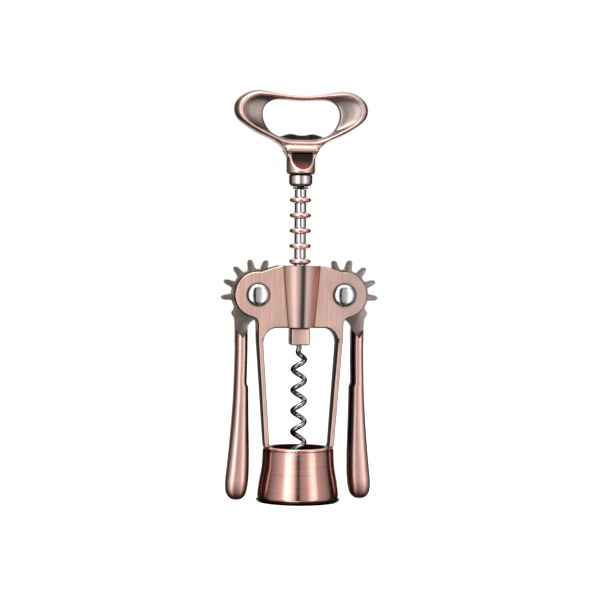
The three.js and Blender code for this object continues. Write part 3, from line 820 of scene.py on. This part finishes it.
for part in (neck, *rolls, handle):
    part.select_set(True)
bpy.context.view_layer.objects.active = handle
bpy.ops.object.join()
skin = handle.modifiers.new("skin", "REMESH")
skin.mode = "VOXEL"
skin.voxel_size = 0.32 * mm
bpy.ops.object.modifier_apply(modifier=skin.name)
soften = handle.modifiers.new("soften", "SMOOTH")
soften.factor = 0.5
soften.iterations = 14
bpy.ops.object.modifier_apply(modifier=soften.name)
carve(handle, round_bar("socket", 2.7, (0, 0, 143), (0, 0, 151.3), 48))
carve(handle, round_bar("pin_hole", 1.0, (-8, 0, 148.6), (8, 0, 148.6), 32))
bpy.ops.object.shade_smooth_by_angle(angle=math.radians(50))

rim_bright = (0.97, 0.68, 0.61, 1)
rim_dull = (0.86, 0.55, 0.48, 1)
hollow_grey = (0.33, 0.265, 0.245, 1)
hollow_end_painted_shade = (0.1, 0.065, 0.055, 1)
far_rim_painted_shade = (0.5, 0.41, 0.39, 1)
edge_painted_shade = (0.06, 0.035, 0.03, 1)
scoop_shade_red = (0.14, 0.03, 0.02, 1)
scoop_shade_black = (0.014, 0.008, 0.007, 1)
copper = Finish("handle_copper")
x, y, z = copper.axes("Object")
ny = copper.size(copper.axes("Normal")[1])
tone = copper.brushed((500, 900, 500), rim_bright, rim_dull, (0.34, 0.44), 0.05)
hollow = copper.times(copper.zone(copper.size(y), 0.0036, 0.0044, 1.0, 0.0), copper.zone(ny, 0.2, 0.45))
hollow = copper.times(hollow, copper.zone(z, 0.1585, 0.161))
tone = copper.mix(copper.times(hollow, 0.9), tone, hollow_grey)
# Painted shade: the hollows are painted darker above and below their middle.
from_middle = copper.size(copper.less(z, 0.1724))
hollow_ends = copper.times(copper.zone(from_middle, 0.0015, 0.006, 0.0, 0.8), hollow)
tone = copper.mix(hollow_ends, tone, hollow_end_painted_shade)
# Painted shade: the right lobe is painted greyer than the left.
tone = copper.mix(copper.zone(x, 0.006, 0.022, 0.0, 0.6), tone, far_rim_painted_shade)
# Painted shade: the outer edges of the handle above the neck are painted dark brown.
edge = copper.zone(ny, 0.02, 0.2, 0.4, 0.0)
above_neck = copper.zone(z, 0.1555, 0.158)
tone = copper.mix(copper.times(edge, above_neck), tone, edge_painted_shade)
# Painted shade: the thumb-nail scoop is painted dark red low down and black higher up.
below_roll = copper.zone(z, 0.154, 0.1543, 1.0, 0.0)
between_sides = copper.zone(copper.size(x), 0.0052, 0.0056, 1.0, 0.0)
inside_neck = copper.zone(copper.reach(x, y), 0.0058, 0.0062, 1.0, 0.0)
in_front = copper.zone(y, -0.0025, -0.002, 1.0, 0.0)
in_scoop = copper.times(copper.times(below_roll, between_sides), copper.times(inside_neck, in_front))
scoop_shade_tone = copper.mix(copper.zone(z, 0.147, 0.1505), scoop_shade_red, scoop_shade_black)
tone = copper.mix(copper.times(in_scoop, 0.97), tone, scoop_shade_tone)
# Painted shade: a black band at the foot of the handle's neck, beside the gap over the collar.
tone = copper.mix(copper.zone(z, 0.1447, 0.1451, 0.95, 0.0), tone, joint_gap_painted_shade)
handle.data.materials.append(copper.coloured(tone))
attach(handle, "screw")
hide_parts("handle")

# ---------------------------------------------------------------- cap-lifter lip
# The hardened edge at the foot of the opening that hooks under a bottle cap: a thin wall with two
# low crests, left black and glossy.
crest = [(10.6, 160.9), (8.6, 161.55), (6.9, 162.1), (5.2, 162.45), (3.6, 162.3), (2.0, 161.9)]
other_crest = [(-x, z) for x, z in reversed(crest)]
lip = slab("cap_lifter_lip", [(-7.6, 159.2), (7.6, 159.2), *crest, (0, 161.75), *other_crest], -1.5, 1.5)
bevel_corners(0.5, 4)
closed_up()
bpy.ops.object.shade_smooth_by_angle(angle=math.radians(50))
lip_black = (0.035, 0.03, 0.028, 1)
lip_rubbed = (0.12, 0.09, 0.08, 1)
black = Finish("lip_black")
tone = black.scuffed(600, (0.45, 0.8), lip_black, lip_rubbed, (0.1, 0.22))
lip.data.materials.append(black.coloured(tone))
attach(lip, "screw")

# ---------------------------------------------------------------- worm block
# A square plated socket under the frame that joins the worm to the spindle: bevelled edges and a
# round mouth below, where the worm's shank goes in.
block_width, block_height, block_middle = 8.4, 7.4, 73
bpy.ops.object.select_all(action="DESELECT")
bpy.ops.mesh.primitive_cube_add(
    size=mm, location=(0, 0, block_middle * mm), scale=(block_width, block_width, block_height),
)
block = bpy.context.object
block.name = "worm_socket"
bpy.ops.object.transform_apply(location=True, rotation=True, scale=True)
bpy.ops.object.mode_set(mode="EDIT")
choose(block, "edges", lambda middle, normal: abs(middle.z - block_middle) < 1)
bpy.ops.mesh.bevel(offset=0.8 * mm, segments=4, affect="EDGES")
choose(block, "edges", lambda middle, normal: abs(middle.z - block_middle) > 3.6)
bpy.ops.mesh.bevel(offset=0.5 * mm, segments=4, affect="EDGES")
choose(block, "faces", lambda middle, normal: normal.z < -0.9)
bpy.ops.mesh.inset(thickness=0.5 * mm, depth=0.12 * mm)
closed_up()
carve(block, round_bar("mouth", 2.2, (0, 0, 68), (0, 0, 72.7), 48))
carve(block, round_bar("pin_hole", 0.9, (-6, 0, 71), (6, 0, 71), 32))
bpy.ops.object.shade_smooth_by_angle(angle=math.radians(35))
block_bright = (0.97, 0.7, 0.64, 1)
block_dull = (0.88, 0.58, 0.52, 1)
block_side_painted_shade = (0.07, 0.025, 0.02, 1)
block_foot_painted_shade = (0.07, 0.03, 0.025, 1)
copper = Finish("block_copper")
nx, _, nz = copper.axes("Normal")
tone = copper.brushed((1800, 1800, 60), block_bright, block_dull, (0.34, 0.44), 0.06)
# Painted shade: the left and right sides of the block are painted dark.
tone = copper.mix(copper.zone(copper.size(nx), 0.3, 0.8, 0.0, 0.85), tone, block_side_painted_shade)
# Painted shade: the underside of the block is painted dark.
tone = copper.mix(copper.zone(nz, -0.9, -0.5, 0.8, 0.0), tone, block_foot_painted_shade)
block.data.materials.append(copper.coloured(tone))
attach(block, "screw")
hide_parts("worm_block")

# ---------------------------------------------------------------- worm
# The screw that goes into the cork: round steel wire wound right-handed round an empty core,
# ground to a point at its end, hardened, and polished over a dark skin.
worm_radius, wire_radius, worm_pitch = 2.6, 1.2, 9.2
worm_top, worm_end, tip_length = 72.4, 20.5, 3.0
furthest_left = 58.6  # a height at which the wire stands furthest left
shank_end, shank_bend = 68, 5.5
steps = 300
wire_end = worm_end - tip_length * 0.55
path = []
radii = []
for i in range(steps + 1):
    z = worm_top + (wire_end - worm_top) * i / steps
    ease = min(1, max(0, (shank_end - z) / shank_bend))
    swing = worm_radius * ease * ease * (3 - 2 * ease)
    angle = math.pi + (z - furthest_left) / worm_pitch * 2 * math.pi
    path.append((swing * math.cos(angle), swing * math.sin(angle), z))
    radii.append(max(0.04, min(1, (z - wire_end) / tip_length)))
worm = drawn("worm_wire", path)
bpy.ops.object.mode_set(mode="OBJECT")
bpy.ops.object.convert(target="CURVE")
worm = bpy.context.object
worm.data.bevel_depth = wire_radius * mm
worm.data.bevel_resolution = 5
worm.data.use_fill_caps = True
spline_points = worm.data.splines[0].points
if spline_points[0].co.z < spline_points[-1].co.z:
    radii.reverse()
for point, radius in zip(spline_points, radii):
    point.radius = radius ** 0.7
bpy.ops.object.convert(target="MESH")
bpy.ops.object.mode_set(mode="EDIT")
closed_up()
bpy.ops.object.shade_smooth_by_angle(angle=math.radians(60))
worm_bright = (0.34, 0.34, 0.34, 1)
worm_dull = (0.12, 0.115, 0.11, 1)
steel = Finish("worm_steel")
tone = steel.scuffed(700, (0.4, 0.75), worm_bright, worm_dull, (0.08, 0.2))
worm.data.materials.append(steel.coloured(tone))
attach(worm, "screw")
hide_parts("worm")
